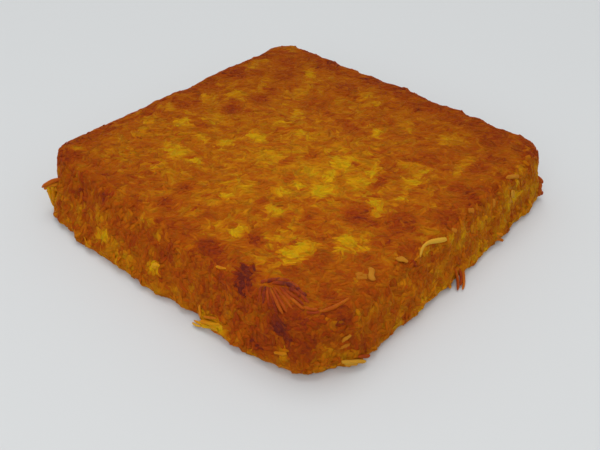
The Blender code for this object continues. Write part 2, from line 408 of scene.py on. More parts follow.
def apply_modifier(item, kind, **values):
    """Add a modifier with these values and apply it."""
    pick(item)
    modifier = item.modifiers.new(kind.title(), kind)
    for key, value in values.items():
        setattr(modifier, key, value)
    bpy.ops.object.modifier_apply(modifier=modifier.name)


def discard(item):
    """Remove an object and its mesh."""
    mesh = item.data
    bpy.data.objects.remove(item)
    bpy.data.meshes.remove(mesh)


def select_vertices(item, wanted):
    """In edit mode, select only the vertices for which wanted(position) is true."""
    bpy.ops.mesh.select_mode(type="VERT")
    bpy.ops.mesh.select_all(action="DESELECT")
    shell = bmesh.from_edit_mesh(item.data)
    for corner in shell.verts:
        corner.select = wanted(corner.co)
    shell.select_flush_mode()
    bmesh.update_edit_mesh(item.data)


def move_vertices(item, wanted, value):
    """In edit mode, move the vertices for which wanted(position) is true, and leave them selected."""
    select_vertices(item, wanted)
    bpy.ops.transform.translate(value=value)


def slab_copy(name):
    """A new object with a copy of the slab's mesh, its loose triangles merged into one shell."""
    copy = bpy.data.objects.new(name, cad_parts[SLAB_NODE].data.copy())
    bpy.context.scene.collection.objects.link(copy)
    copy.data.materials.clear()
    pick(copy)
    bpy.ops.object.mode_set(mode="EDIT")
    bpy.ops.mesh.select_all(action="SELECT")
    bpy.ops.mesh.remove_doubles(threshold=0.00001)
    bpy.ops.mesh.customdata_custom_splitnormals_clear()
    bpy.ops.object.mode_set(mode="OBJECT")
    return copy


def finish_piece(piece, material):
    """Give a piece its material and its place in the frame."""
    piece.data.materials.clear()
    piece.data.materials.append(material)
    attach(piece, BODY)
    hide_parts(SLAB_NODE)


# ---------------- materials


def new_group(name, inputs, outputs):
    """A shader node group whose sockets are numbers, but for one named Color."""
    group = bpy.data.node_groups.new(name, "ShaderNodeTree")
    for way, titles in (("INPUT", inputs), ("OUTPUT", outputs)):
        for title in titles:
            kind = "NodeSocketColor" if title == "Color" else "NodeSocketFloat"
            group.interface.new_socket(name=title, in_out=way, socket_type=kind)
    return group, group.nodes.new("NodeGroupInput"), group.nodes.new("NodeGroupOutput")


def math_node(tree, operation, first, second):
    """A Math node; its inputs are sockets or numbers."""
    node = tree.nodes.new("ShaderNodeMath")
    node.operation = operation
    for index, value in enumerate((first, second)):
        if isinstance(value, float):
            node.inputs[index].default_value = value
        else:
            tree.links.new(value, node.inputs[index])
    return node.outputs[0]


def stray_node(tree, value, depth):
    """How far a value strays from a half, times a depth."""
    return math_node(tree, "MULTIPLY", math_node(tree, "SUBTRACT", value, 0.5), depth)


def set_inputs(node, values):
    """Give a node's inputs fixed values."""
    for title, value in values.items():
        node.inputs[title].default_value = value


def noise_node(tree, coordinates, size, detail, roughness):
    """Noise whose lumps are of a given size in metres."""
    node = tree.nodes.new("ShaderNodeTexNoise")
    tree.links.new(coordinates, node.inputs["Vector"])
    set_inputs(node, {"Scale": 1.0 / size, "Detail": detail, "Roughness": roughness})
    return node.outputs["Fac"]


def toasting_group(browning, kind):
    """Rice colour, shine and skin from how toasted a place is, for saffron or pale rice."""
    name = kind + " Rice Skin"
    if name in bpy.data.node_groups:
        return bpy.data.node_groups[name]
    group, start, end = new_group(
        name, ("Toast", "Shade", "Shade Depth", "Darken"), ("Color", "Roughness", "Oil", "Height"),
    )
    link = group.links.new
    place = group.nodes.new("ShaderNodeTexCoord").outputs["Object"]
    mottle = noise_node(group, place, 1.6 * MM, 3.0, 0.6)
    specks = noise_node(group, place, 0.45 * MM, 2.0, 0.5)
    toast = math_node(group, "ADD", start.outputs["Toast"], stray_node(group, mottle, 0.32))
    ramp = group.nodes.new("ShaderNodeValToRGB")
    link(toast, ramp.inputs["Fac"])
    if kind == "Saffron":
        stops = (
            (0.05, browning.golden), (0.32, browning.amber), (0.55, browning.toasted),
            (0.73, browning.brown), (0.88, browning.dark), (1.00, browning.burnt),
        )
    else:
        stops = ((0.0, browning.pale), (1.0, browning.tan))
    ramp.color_ramp.interpolation = "LINEAR"
    for index, (position, colour) in enumerate(stops):
        if index < 2:
            stop = ramp.color_ramp.elements[index]
            stop.position = position
        else:
            stop = ramp.color_ramp.elements.new(position)
        stop.color = (*colour, 1.0)
    # A grain is a little lighter or darker than its neighbour, and darker still where shade is painted
    # towards the far corner
    lightness = stray_node(group, start.outputs["Shade"], start.outputs["Shade Depth"])
    lightness = math_node(group, "ADD", lightness, stray_node(group, specks, 0.12))
    lightness = math_node(group, "ADD", lightness, 1.0)
    lightness = math_node(group, "MULTIPLY", lightness, start.outputs["Darken"])
    shaded = group.nodes.new("ShaderNodeVectorMath")
    shaded.operation = "SCALE"
    link(ramp.outputs["Color"], shaded.inputs[0])
    link(lightness, shaded.inputs["Scale"])
    link(shaded.outputs[0], end.inputs["Color"])
    # The skin is rougher in some spots than in others
    rough = math_node(group, "ADD", math_node(group, "MULTIPLY", mottle, 0.30), 0.32)
    link(rough, end.inputs["Roughness"])
    # Specks of oil glint faintly here and there
    drops = noise_node(group, place, 1.0 * MM, 1.0, 0.5)
    oil = group.nodes.new("ShaderNodeMapRange")
    oil.interpolation_type = "SMOOTHSTEP"
    set_inputs(oil, {"From Min": 0.62, "From Max": 0.72})
    link(drops, oil.inputs["Value"])
    link(math_node(group, "MULTIPLY", oil.outputs["Result"], 0.08), end.inputs["Oil"])
    skin = math_node(group, "ADD", math_node(group, "MULTIPLY", mottle, 0.6),
                     math_node(group, "MULTIPLY", specks, 0.4))
    link(skin, end.inputs["Height"])
    return group


def rice_material(name, browning, shade_depth, darken, bump, kind="Saffron", gloss=0.01):
    """Rice whose browning and shade are read from the piece's own attributes."""
    material = bpy.data.materials.new(name)
    material.use_nodes = True
    tree = material.node_tree
    link = tree.links.new
    shader = tree.nodes["Principled BSDF"]
    rice = tree.nodes.new("ShaderNodeGroup")
    rice.node_tree = toasting_group(browning, kind)
    set_inputs(rice, {"Shade Depth": shade_depth, "Darken": darken})
    for title in ("Toast", "Shade"):
        reader = tree.nodes.new("ShaderNodeAttribute")
        reader.attribute_name = title.lower()
        link(reader.outputs["Fac"], rice.inputs[title])
    relief = tree.nodes.new("ShaderNodeBump")
    set_inputs(relief, {"Strength": bump, "Distance": 0.3 * MM})
    link(rice.outputs["Height"], relief.inputs["Height"])
    link(rice.outputs["Color"], shader.inputs["Base Color"])
    link(rice.outputs["Roughness"], shader.inputs["Roughness"])
    link(relief.outputs["Normal"], shader.inputs["Normal"])
    link(rice.outputs["Oil"], shader.inputs["Coat Weight"])
    set_inputs(shader, {
        "Coat Roughness": 0.22,
        "Metallic": 0.0,
        "IOR": 1.4,
        "Specular IOR Level": gloss,
        "Subsurface Weight": 0.5,
        "Subsurface Radius": (1.0, 0.4, 0.1),
        "Subsurface Scale": 1.2 * MM,
    })
    return material


# ---------------- the core


# The core stays this far above the floor, and the underside grains reach down past it
CORE_GAP = 0.0003


def write_attribute(mesh, name, values):
    """Store one number a vertex."""
    layer = mesh.attributes.new(name, "FLOAT", "POINT")
    layer.data.foreach_set("value", np.asarray(values, np.float32))


def vertex_places(mesh):
    """The vertices of a mesh as rows of three numbers."""
    places = np.empty(len(mesh.vertices) * 3, np.float32)
    mesh.vertices.foreach_get("co", places)
    return places.reshape(-1, 3)


def roughen(item, title, size, depth, middle, group=""):
    """Push a surface in and out with cloudy noise whose lumps are of a given size."""
    texture = bpy.data.textures.new(title, "CLOUDS")
    texture.noise_scale = size
    texture.noise_depth = 1
    apply_modifier(item, "DISPLACE", texture=texture, texture_coords="LOCAL",
                   strength=depth, mid_level=middle, vertex_group=group)


def lumpy_form(name, settings):
    """The slab's form in fine even cells, with the lumps of packed rice on its sides."""
    form = slab_copy(name)
    apply_modifier(form, "REMESH", mode="VOXEL", voxel_size=settings.cell)
    apply_modifier(form, "SMOOTH", factor=0.5, iterations=2)
    for title in ("lumps", "nibbles", "foot"):
        form.vertex_groups.new(name=title)
    lumps, nibbles, foot = form.vertex_groups
    for corner in form.data.vertices:
        place = corner.co
        # The pan pressed most of the lumps out of the crust
        pressed = smooth_step(0.55, 0.95, corner.normal.z)
        weight = 1.0 + (settings.crust_lumps - 1.0) * pressed
        lumps.add((corner.index,), weight * smooth_step(0.0002, 0.0025, place.z), "REPLACE")
        # The top rim is nibbled, and the foot is ragged but for what touches the floor
        rim = max(abs(place.x) / HALF_X, abs(place.y) / HALF_Y)
        weight = smooth_step(0.82, 0.92, rim) * smooth_step(0.012, 0.024, place.z)
        nibbles.add((corner.index,), weight, "REPLACE")
        weight = smooth_step(0.0003, 0.0016, place.z) * smooth_step(0.012, 0.005, place.z)
        foot.add((corner.index,), weight, "REPLACE")
    for title, size, depth in (
        ("lumps", 5.5 * MM, settings.lumps),
        ("lumps", 2.4 * MM, settings.lumps / 2.5),
        ("nibbles", 7.0 * MM, settings.nibbles),
        ("foot", 3.6 * MM, settings.foot),
    ):
        roughen(form, title, size, depth, 0.55, title)
    form.vertex_groups.clear()
    return form


class TAHDIG_OT_core(Operator):
    """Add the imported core: the slab's own form, a little smaller, with fine relief"""

    bl_idname = "tahdig.core"
    bl_label = "Rice Core"

    def execute(self, context):
        settings = context.scene.tahdig_core
        core = lumpy_form("rice_core", settings)
        bpy.ops.object.mode_set(mode="EDIT")
        bpy.ops.mesh.select_all(action="SELECT")
        bpy.ops.transform.shrink_fatten(value=-settings.inset)
        bpy.ops.object.mode_set(mode="OBJECT")
        roughen(core, "grainy", 1.5 * MM, 0.35 * MM, 0.5)
        places = vertex_places(core.data)
        places[:, 2] = np.maximum(places[:, 2], CORE_GAP)
        core.data.vertices.foreach_set("co", places.ravel())
        core.data.update()
        write_attribute(core.data, "toast", [toasting(Vector(p)) for p in places])
        # The shade is a random tone, minus painted shade towards the far corner
        shade = [0.5 + 0.5 * octave(Vector(p), 2 * MM, 7.7) - 1.2 * painted_shade(p) for p in places]
        write_attribute(core.data, "shade", shade)
        pick(core)
        bpy.ops.object.shade_smooth()
        browning = context.scene.tahdig_browning
        # The core shows in the gaps between the grains and is painted a little darker there as shade
        material = rice_material("Packed Rice", browning, shade_depth=0.16, darken=0.95, bump=0.5)
        finish_piece(core, material)
        return {"FINISHED"}


# ---------------- the grains


# A blank's tips lie past TIP, its middle ring inside RING, and its outer rings between the two
TIP, RING = 0.45, 0.2


def start_blank(segments, rings):
    """A sphere of size 1 in edit mode, its poles along X, to be shaped into a grain or a strand."""
    deselect_all()
    bpy.ops.mesh.primitive_uv_sphere_add(segments=segments, ring_count=rings, radius=0.5,
                                         rotation=(0.0, math.pi / 2.0, 0.0))
    bpy.ops.object.transform_apply(location=True, rotation=True, scale=True)
    bpy.ops.object.mode_set(mode="EDIT")
    return bpy.context.object


class Blank:
    """The corners and faces of a shaped grain or strand, 1 long along X, ready to be copied."""

    def __init__(self, shaped):
        bpy.ops.object.mode_set(mode="OBJECT")
        self.corners = np.array([corner.co for corner in shaped.data.vertices])
        # Sorted, because a new sphere's faces come in another order each time
        self.faces = sorted(tuple(face.vertices) for face in shaped.data.polygons)
        discard(shaped)


def grain_blank(bend=0.0, hook=0.0, broken=False):
    """The blank of a grain, with a few dozen faces."""
    grain = start_blank(segments=6, rings=4)
    # Blunt ends: the outer rings move out and swell a little
    for side in (-1.0, 1.0):
        move_vertices(grain, lambda co: RING < co.x * side < TIP, (0.035 * side, 0.0, 0.0))
        bpy.ops.transform.resize(value=(1.0, 1.14, 1.10))
    if bend:
        move_vertices(grain, lambda co: abs(co.x) < RING, (0.0, bend, 0.0))
    if hook:
        move_vertices(grain, lambda co: co.x > TIP, (0.0, hook * 2.0, 0.0))
        move_vertices(grain, lambda co: RING < co.x < TIP, (0.0, hook, 0.0))
    if broken:
        move_vertices(grain, lambda co: co.x > TIP, (-0.14, 0.0, 0.05))
    return Blank(grain)


# Straight, curved, bowed and broken grains: the share of each kind and its form
GRAIN_KINDS = (
    (0.32, {}),
    (0.30, {"bend": 0.42}),
    (0.26, {"bend": -0.28, "hook": 0.25}),
    (0.12, {"bend": 0.12, "broken": True}),
)
# Nothing lies closer to the floor than this
FLOOR_GAP = 0.00002


class Surface:
    """The slab's outer surface, on which grains are seated."""

    def __init__(self):
        guide = lumpy_form("surface_guide", bpy.context.scene.tahdig_core)
        shell = bmesh.new()
        shell.from_mesh(guide.data)
        self.tree = BVHTree.FromBMesh(shell)
        self.middles = np.array([face.calc_center_median() for face in shell.faces])
        self.normals = np.array([face.normal for face in shell.faces])
        self.areas = np.array([face.calc_area() for face in shell.faces])
        shell.free()
        discard(guide)

    def draw(self, rng, count, wanted):
        """Seats spread evenly over the faces for which wanted is true."""
        kept = np.flatnonzero(wanted)
        rank = np.cumsum(self.areas[kept])
        steps = (np.arange(count) + rng.random(count)) / count * rank[-1]
        chosen = kept[np.searchsorted(rank, steps).clip(0, len(kept) - 1)]
        spread = math.sqrt(self.areas.mean())
        places = self.middles[chosen] + rng.uniform(-0.5, 0.5, (count, 3)) * spread
        return places, self.normals[chosen]

    def nearest(self, place):
        """The nearest point of the surface and its normal."""
        spot, normal, _, _ = self.tree.find_nearest(place)
        return spot, normal


def unit(vectors):
    """Vectors made one long."""
    return vectors / np.maximum(np.linalg.norm(vectors, axis=1, keepdims=True), 1e-12)


# Least and greatest length, width and thickness of a grain, as shares of the usual ones
LENGTHS, WIDTHS, THICKNESSES = (0.62, 1.28), (0.82, 1.20), (0.85, 1.25)
# How far a grain's browning strays from that of the place it lies at
TOAST_SPREAD = 0.05


class Seats:
    """Where grains lie: their middles, the way they point, their sizes and their browning."""

    def __init__(self, places, normals, headings, rng, settings):
        count = len(places)
        self.places = places
        self.normals = unit(normals)
        self.along = unit(headings - self.normals * (headings * self.normals).sum(1, keepdims=True))
        self.across = np.cross(self.normals, self.along)
        self.length = settings.length * rng.uniform(*LENGTHS, count)
        self.width = settings.width * rng.uniform(*WIDTHS, count)
        self.thickness = settings.thickness * rng.uniform(*THICKNESSES, count)
        self.lift = np.zeros(count)
        self.tilt = np.zeros(count)
        self.wrap = np.ones(count)
        self.shade = rng.random(count)
        self.toast_shift = rng.normal(0.0, TOAST_SPREAD, count)

    def paint_far_shade(self, depth):
        """Darken the grains with painted shade, by how far towards the far corner they lie."""
        self.shade -= [depth * painted_shade(place) for place in self.places]


class Bunch:
    """Many grains gathered into one mesh, each with its browning, its shade and its own map cell."""

    def __init__(self, count):
        self.rows = math.ceil(math.sqrt(count))
        self.corners, self.faces, self.toast, self.shade, self.cells = [], [], [], [], []

    def add(self, blank, spots, toast, shade, mirrored=False):
        """Add a copy of a blank whose corners lie at these spots."""
        first = len(self.corners)
        self.corners.extend((x, y, max(z, FLOOR_GAP)) for x, y, z in spots)
        # The corners of a mirrored grain's faces run the other way round
        step = -1 if mirrored else 1
        self.faces.extend(tuple(first + i for i in face[::step]) for face in blank.faces)
        self.toast.extend(toast)
        self.shade.extend([shade] * len(blank.corners))
        cell = np.array((len(self.cells) % self.rows, len(self.cells) // self.rows), float)
        x, y = blank.corners[:, 0], blank.corners[:, 1]
        inside = np.stack(((x + 0.5) * 0.8 + 0.1, (y * 0.5 + 0.5) * 0.8 + 0.1), 1)
        self.cells.append((cell + inside) / self.rows)

    def piece(self, name):
        """The grains as one object."""
        mesh = bpy.data.meshes.new(name)
        mesh.from_pydata(self.corners, [], self.faces)
        write_attribute(mesh, "toast", self.toast)
        write_attribute(mesh, "shade", self.shade)
        layer = mesh.uv_layers.new(name="OFBake")
        used = np.empty(len(mesh.loops), np.int32)
        mesh.loops.foreach_get("vertex_index", used)
        layer.data.foreach_set("uv", np.concatenate(self.cells)[used].astype(np.float32).ravel())
        mesh.polygons.foreach_set("use_smooth", np.ones(len(mesh.polygons), bool))
        mesh.update()
        piece = bpy.data.objects.new(name, mesh)
        bpy.context.scene.collection.objects.link(piece)
        return piece


def lay_grains(name, blanks, seats, surface, rng):
    """One joined mesh of grains laid on the surface, following its curve."""
    kinds = rng.choice(len(blanks), len(seats.places), p=[share for share, _ in GRAIN_KINDS])
    bunch = Bunch(len(kinds))
    for index, kind in enumerate(kinds):
        blank = blanks[kind]
        mirrored = rng.random() >= 0.5
        x = blank.corners[:, 0] * seats.length[index]
        y = blank.corners[:, 1] * seats.width[index] * (-1.0 if mirrored else 1.0)
        z = blank.corners[:, 2] * seats.thickness[index]
        flat = seats.places[index] + np.outer(x, seats.along[index]) + np.outer(y, seats.across[index])
        height = z + seats.lift[index] + seats.tilt[index] * x
        wrap = seats.wrap[index]
        # A grain browns unevenly along its length, less so than the slab under it
        reach = 0.35 * seats.length[index] * seats.along[index]
        levels = [toasting(Vector(seats.places[index] + reach * step)) for step in (-1.0, 0.0, 1.0)]
        levels = np.array(levels) * 0.5 + 0.5 * levels[1] + seats.toast_shift[index]
        toast = np.interp(blank.corners[:, 0], (-0.4, 0.0, 0.4), levels)
        spots = []
        for spot, rise in zip(flat, height):
            spot = Vector(spot)
            under, up = surface.nearest(spot)
            up = Vector(seats.normals[index]).lerp(up, wrap)
            spots.append(spot.lerp(under, wrap) + up.normalized() * rise)
        bunch.add(blank, spots, toast, seats.shade[index], mirrored)
    return bunch.piece(name)


# Usual headings of the grains: on the crust from the X axis, on the sides from the level
CRUST_HEADING = math.radians(43.0)
SIDE_HEADING = math.radians(80.0)


def crust_headings(places, rng):
    """Directions of the grains on the crust: loosely combed in drifts across the slab."""
    angles = []
    for place in places:
        drift = octave(Vector((place[0], place[1], 0.0)), 26 * MM, 51.3)
        eddy = octave(Vector((place[0], place[1], 0.0)), 9 * MM, 63.9)
        angles.append(CRUST_HEADING + 0.6 * drift + 0.7 * eddy)
    angles = np.array(angles) + rng.normal(0.0, 0.80, len(places))
    return np.stack((np.cos(angles), np.sin(angles), np.zeros(len(places))), 1)


def side_headings(places, normals, rng):
    """Directions on the sides: mostly leaning upright, tumbled about."""
    around = unit(np.cross(normals, (0.0, 0.0, 1.0)))
    angles = []
    for place in places:
        angles.append(SIDE_HEADING + 1.4 * octave(Vector(place), 11 * MM, 77.7))
    angles = np.array(angles) + rng.normal(0.0, 0.90, len(places))
    up = np.cross(around, normals)
    return around * np.cos(angles)[:, None] + up * np.sin(angles)[:, None]


SHARED = {}


def shared_surface():
    """The surface guide and the grain blanks, made once."""
    if not SHARED:
        SHARED["surface"] = Surface()
        SHARED["blanks"] = [grain_blank(**form) for _, form in GRAIN_KINDS]
    return SHARED["surface"], SHARED["blanks"]


def grain_tools(context, seed_step):
    """What every grain operator needs: settings, colours, its own random draws, surface and blanks."""
    settings = context.scene.tahdig_grains
    rng = np.random.default_rng(settings.seed + seed_step)
    return settings, context.scene.tahdig_browning, rng, *shared_surface()


def sort_by_toast(places, toasted, count):
    """Which seats are the most toasted ones, or the least toasted ones."""
    level = np.array([toasting(Vector(place)) for place in places])
    order = np.argsort(level)
    return order[-count:] if toasted else order[:count]


# How upright a face of the crust, the sides and the underside stands: the height of its normal
CRUST_FROM, SIDES_TO, UNDERSIDE_TO = 0.72, 0.78, -0.6


class TAHDIG_OT_crust(Operator):
    """Add the grains of the crust, pressed flat against the pan: toasted ones and golden ones"""

    bl_idname = "tahdig.crust"
    bl_label = "Crust Grains"

    def execute(self, context):
        settings, browning, rng, surface, blanks = grain_tools(context, 0)
        total = settings.toasted + settings.golden
        crust = (surface.normals[:, 2] > CRUST_FROM) & (surface.middles[:, 2] > TOP_Z * 0.7)
        places, normals = surface.draw(rng, total, crust)
        headings = crust_headings(places, rng)
        material = rice_material("Crust Rice", browning, shade_depth=0.14, darken=1.0, bump=0.25)
        # The browner seats and the lighter seats make two pieces
        for name, toasted, count in (
            ("crust_grains_toasted", True, settings.toasted),
            ("crust_grains_golden", False, settings.golden),
        ):
            kept = np.sort(sort_by_toast(places, toasted, count))
            seats = Seats(places[kept], normals[kept], headings[kept], rng, settings)
            seats.lift = rng.uniform(0.02, 0.15, count) * MM - seats.thickness / 2.0
            seats.tilt = rng.normal(0.0, 0.02, count)
            # Painted shade: the crust grains darken towards the far corner
            seats.paint_far_shade(1.5)
            piece = lay_grains(name, blanks, seats, surface, rng)
            finish_piece(piece, material)
        return {"FINISHED"}


class TAHDIG_OT_sides(Operator):
    """Add the grains round the sides, less pressed and more tumbled than the crust"""

    bl_idname = "tahdig.sides"
    bl_label = "Side Grains"

    def execute(self, context):
        settings, browning, rng, surface, blanks = grain_tools(context, 1)
        side = (surface.normals[:, 2] <= SIDES_TO) & (surface.normals[:, 2] > UNDERSIDE_TO)
        places, normals = surface.draw(rng, settings.sides, side)
        seats = Seats(places, normals, side_headings(places, normals, rng), rng, settings)
        # These grains are shorter, wider and thinner than those of the crust
        seats.length *= 0.85
        seats.width *= 1.30
        seats.thickness *= 0.80
        seats.lift = rng.uniform(0.0, 0.16, settings.sides) * MM - seats.thickness / 2.0
        seats.tilt = rng.normal(0.0, 0.045, settings.sides)
        seats.wrap = rng.uniform(0.75, 1.0, settings.sides)
        # Painted shade: the side grains darken towards the far corner
        seats.paint_far_shade(1.8)
        piece = lay_grains("side_grains", blanks, seats, surface, rng)
        # The side rice is painted lighter than the crust's, standing in for more light on the walls
        material = rice_material("Side Rice", browning, shade_depth=0.10, darken=1.12, bump=0.20)
        finish_piece(piece, material)
        return {"FINISHED"}


class TAHDIG_OT_underside(Operator):
    """Add the soft, hardly toasted grains that the slab rests on"""

    bl_idname = "tahdig.underside"
    bl_label = "Underside Grains"

    def execute(self, context):
        settings, browning, rng, surface, blanks = grain_tools(context, 2)
        under = surface.normals[:, 2] <= UNDERSIDE_TO
        places, normals = surface.draw(rng, settings.underside, under)
        seats = Seats(places, normals, crust_headings(places, rng), rng, settings)
        seats.lift = rng.uniform(-0.45, -0.25, settings.underside) * MM
        seats.toast_shift -= 0.22
        piece = lay_grains("underside_grains", blanks, seats, surface, rng)
        material = rice_material("Underside Rice", browning, shade_depth=0.24, darken=1.0, bump=0.4)
        finish_piece(piece, material)
        return {"FINISHED"}


# ---------------- loose strands


class Strand:
    """A grain or strand that stands out: points, width, thickness and rise are in millimetres."""

    def __init__(self, points, width, thickness, toast, rise):
        self.points = np.array(points, float) * MM
        self.width = width * MM
        self.thickness = thickness * MM
        self.toast = toast
        self.rise = rise * MM


# Each row holds a strand's points, its width, its thickness, its toast and its rise over the points
PALE_STRANDS = (
    # The long curled strand on the right edge of the crust
    (((93.9, -21.6, 25.4), (92.4, -17.6, 27.3), (92.3, -13.4, 28), (94, -8.2, 26.4),
      (95.8, -2.2, 24.6)), 2.1, 1.3, 0.04, 0.2),
    # Pale grains near it
    (((89.4, -32.8, 29.1), (91.2, -31, 28.9), (93.2, -29.4, 27.7)), 2.6, 1.1, 0.75, 0.05),
    (((90.2, -49.4, 28.9), (87.6, -46.6, 29.2), (85.4, -43.8, 29.3)), 2.9, 1.1, 0.8, 0.05),
    (((84.6, -52.4, 29.3), (87, -49.8, 29.2)), 2.5, 0.9, 1.1, -0.25),
    (((83.2, -51.4, 29.4), (85.2, -48.6, 29.3)), 2.3, 0.9, 1.1, -0.25),
    (((85.6, -48.4, 29.3), (87.8, -50.6, 29.1)), 2.3, 0.9, 1, -0.25),
    # Two pale grains on the wall near the corner
    (((94.4, -72.4, 15.4), (95, -70.4, 16.5), (95.9, -68.4, 17.2)), 1.9, 1.2, 0.75, 0.1),
    (((94.4, -73.4, 12.4), (95.4, -71.3, 12.9), (96.2, -69.4, 13.3)), 1.7, 1.1, 1, 0),
    # Pale grains of the right corner
    (((92.6, 50.2, 28.4), (94.2, 55, 27.2), (95, 59.5, 25.8)), 2.3, 1, 0.85, 0),
    (((94.6, 37, 24.2), (95.4, 36.6, 22.2), (95.9, 36.3, 20.2)), 1.9, 1, 0.9, 0),
    (((96.7, 50.4, 22.8), (97.6, 51.4, 18.4)), 2.2, 1.1, 0.4, 0.1),
    (((96.8, 52.8, 21.8), (97.8, 52.2, 17.8)), 1.8, 1, 0.5, 0.05),
    (((97.2, 48.5, 20), (98, 49.6, 16.4)), 1.8, 1, 0.6, 0.05),
    (((93.2, 16, 28.4), (94.8, 19, 27.7)), 2.4, 0.9, 0.95, -0.05),
    (((94.6, 1, 26.9), (95.8, 3.8, 25.8)), 2, 0.9, 1, -0.05),
    # The pale end of the fringe at the left foot
    (((38.4, -96.6, 2.2), (35.7, -97.2, 1.5), (33.3, -97.2, 1.3)), 1.5, 1.1, -0.4, 0),
    # Stray grains at the foot
    (((95.4, -73.6, 6), (98.6, -69.2, 4.8), (101, -64.6, 3)), 2.2, 1.5, 0.25, 0.5),
    (((96.6, -72.6, 4.4), (99.6, -68, 3.2)), 1.9, 1.4, 0.5, 0.4),
)
TOASTED_STRANDS = (
    # A fan of long strands over the near corner
    (((60.1, -80.8, 29.2), (62, -84.1, 28.5), (63.7, -86.2, 26.3)), 1.5, 1, 0.85, -0.3),
    (((61.3, -80.3, 29.2), (64.2, -84.1, 28.4), (66.3, -86, 25.7)), 1.4, 1.1, 0.96, -0.2),
    (((61.9, -79.8, 29.2), (65.8, -83.5, 28.5), (69.6, -85.5, 26)), 1.5, 1.1, 0.83, -0.2),
    (((62.8, -79.6, 29.1), (68.3, -83.3, 28.4), (73.1, -85.3, 25.6)), 1.4, 1.1, 0.88, -0.2),
    (((63.5, -79.8, 29.1), (69.7, -82.8, 28.5), (75.3, -84.8, 26.8)), 1.3, 1.2, 0.67, 0),
    (((63.7, -78.8, 29.1), (70, -81.5, 28.8), (76.2, -83.5, 27.5)), 1.5, 1.1, 0.79, -0.2),
    (((63.9, -77.9, 29.1), (70.5, -79.8, 29), (77.3, -81.4, 28.3)), 1.4, 1.1, 0.71, -0.2),
    (((65, -76.8, 29.1), (71.6, -78.1, 29), (78.4, -79.2, 28.6)), 1.6, 1.1, 0.83, -0.2),
    (((66.8, -75.9, 29.1), (73, -76.8, 29), (79.3, -77.4, 28.8)), 1.5, 1.1, 0.86, -0.1),
    (((73.2, -78.1, 29), (76.9, -78.8, 28.8), (80.5, -78.7, 28.5)), 1.4, 1.2, 0.61, 0.1),
    (((79.6, -78.3, 28.7), (82.3, -77.3, 28.7), (84.7, -75.4, 28.7)), 1.5, 1.1, 0.67, -0.1),
    (((81.7, -78.9, 28.4), (84.3, -77.8, 28.4), (85.7, -75.4, 28.6)), 1.4, 1, 0.86, -0.2),
    (((85.7, -76, 28.5), (87.7, -71.9, 28.7), (89.3, -66.9, 29),
      (89.9, -61.5, 28.9)), 1.5, 1.3, 0.58, -0.1),
    # The dark ridge of broken crust behind the fan
    (((59, -80.3, 29.3), (59.5, -78, 29.3), (61, -76.1, 29.3)), 1.8, 1.4, 0.84, -0.2),
    (((60.3, -78.3, 29.3), (61.4, -75.4, 29.3), (63.6, -73.7, 29.3)), 2.1, 1.5, 0.94, -0.15),
    (((62.1, -75.5, 29.3), (64.1, -73, 29.3), (66.7, -71.8, 29.3)), 1.8, 1.4, 0.82, -0.15),
    (((62.3, -77.5, 29.2), (64.5, -75.2, 29.2), (67.7, -74, 29.2)), 2, 1.6, 0.88, -0.05),
    (((65.1, -75.3, 29.2), (67.4, -73.6, 29.2), (71.1, -73.6, 29.2)), 2.1, 1.6, 0.98, 0),
    (((66, -72.7, 29.3), (68.7, -72.2, 29.3), (71.9, -72.2, 29.3)), 1.7, 1.4, 0.8, -0.2),
    (((68.9, -74.7, 29.1), (72, -74.6, 29.1), (75.5, -75, 29.1)), 1.9, 1.6, 0.9, -0.05),
    (((70.8, -72.8, 29.2), (73.9, -73.3, 29.2), (77.1, -73.9, 29.1)), 1.9, 1.5, 0.96, -0.15),
    (((73.9, -74.4, 29.2), (76.9, -74.8, 29.1), (80, -75.4, 28.9)), 1.6, 1.3, 0.86, -0.15),
    # Strands hanging at the right foot
    (((99.4, 0.6, 8), (101.6, 0.4, 4.2), (105.2, -4, 1.2)), 2.3, 1.5, 0.7, 0),
    (((99.6, 3.4, 6.6), (101.6, 3.4, 3.6), (104.6, -0.8, 1.4)), 2, 1.4, 0.86, 0),
    (((99.4, 6.4, 6.6), (102.2, 4.8, 3.4), (106.6, -2.2, 1)), 1.7, 1.2, 0.5, 0),
    (((99.6, -4.8, 6), (101.2, -5, 3.2), (102.2, -5, 1)), 2.2, 1.4, 0.3, 0),
    # The ragged bit at the right corner
    (((94.6, 81, 14.4), (96.8, 83, 12.4), (98.2, 84.3, 9.8)), 2.4, 2.2, 0.76, 0),
    (((95.8, 82, 11.6), (97.2, 83.4, 8.2), (97, 83.2, 5)), 3.4, 3.2, 0.7, 0),
    (((95.8, 82.2, 7.6), (97.6, 83.8, 4.8), (97.2, 83.4, 2.2)), 3.6, 3.4, 0.64, 0),
    (((95.4, 81.8, 4.6), (98.2, 84.4, 4.2), (99.2, 85.3, 2.6)), 2.8, 2.4, 0.8, 0),
    # A reddish end at the near foot
    (((98.8, -67.4, 6.2), (100.2, -64.8, 5.2), (101.2, -62.4, 4.4)), 1.6, 1.2, 0.8, 0.3),
)
